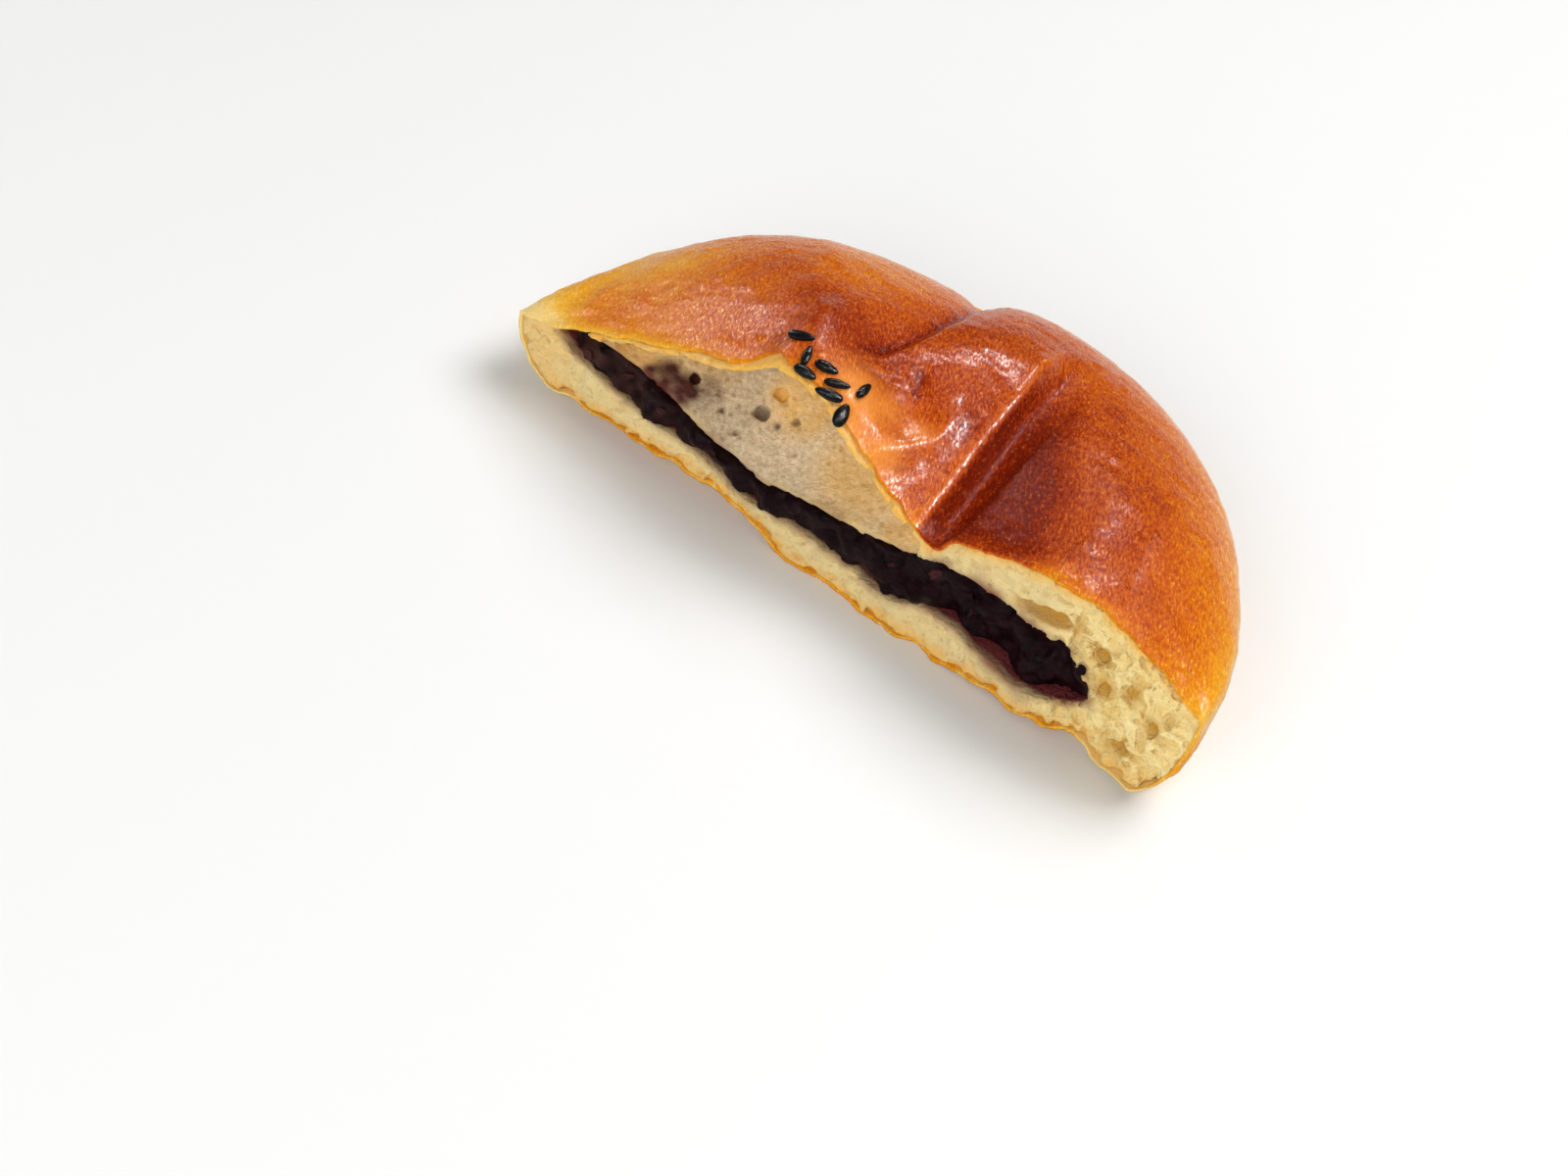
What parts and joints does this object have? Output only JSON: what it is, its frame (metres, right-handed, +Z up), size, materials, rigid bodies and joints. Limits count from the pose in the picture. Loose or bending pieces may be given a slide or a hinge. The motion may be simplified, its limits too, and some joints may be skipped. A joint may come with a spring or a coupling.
{
  "type": "bean-filled bun half",
  "caption": "Torn half of a round baked sweet bun with a pleated glossy crust, an air gap and a layer of dark bean paste, lying on its flat base.",
  "frame": {"origin": "middle of the flat base that the half rests on, 20 mm behind the torn face", "axes": "+X along the tear towards the blunt end, +Y away from the torn face into the bun, +Z up"},
  "size_m": [0.097, 0.0487, 0.0272],
  "materials": {
    "crust": "baked, egg-glazed crust, reddish brown with a soft sheen, golden at the rim and base",
    "crumb": "pale cream torn crumb with fine bubbles",
    "paste": "moist dark purple-brown bean paste with bits of skin",
    "sesame": "black sesame seed with a fine gloss"
  },
  "bodies": {
    "root": {"bun_bread": "crust", "bean_paste": "paste"}
  },
  "joints": []
}
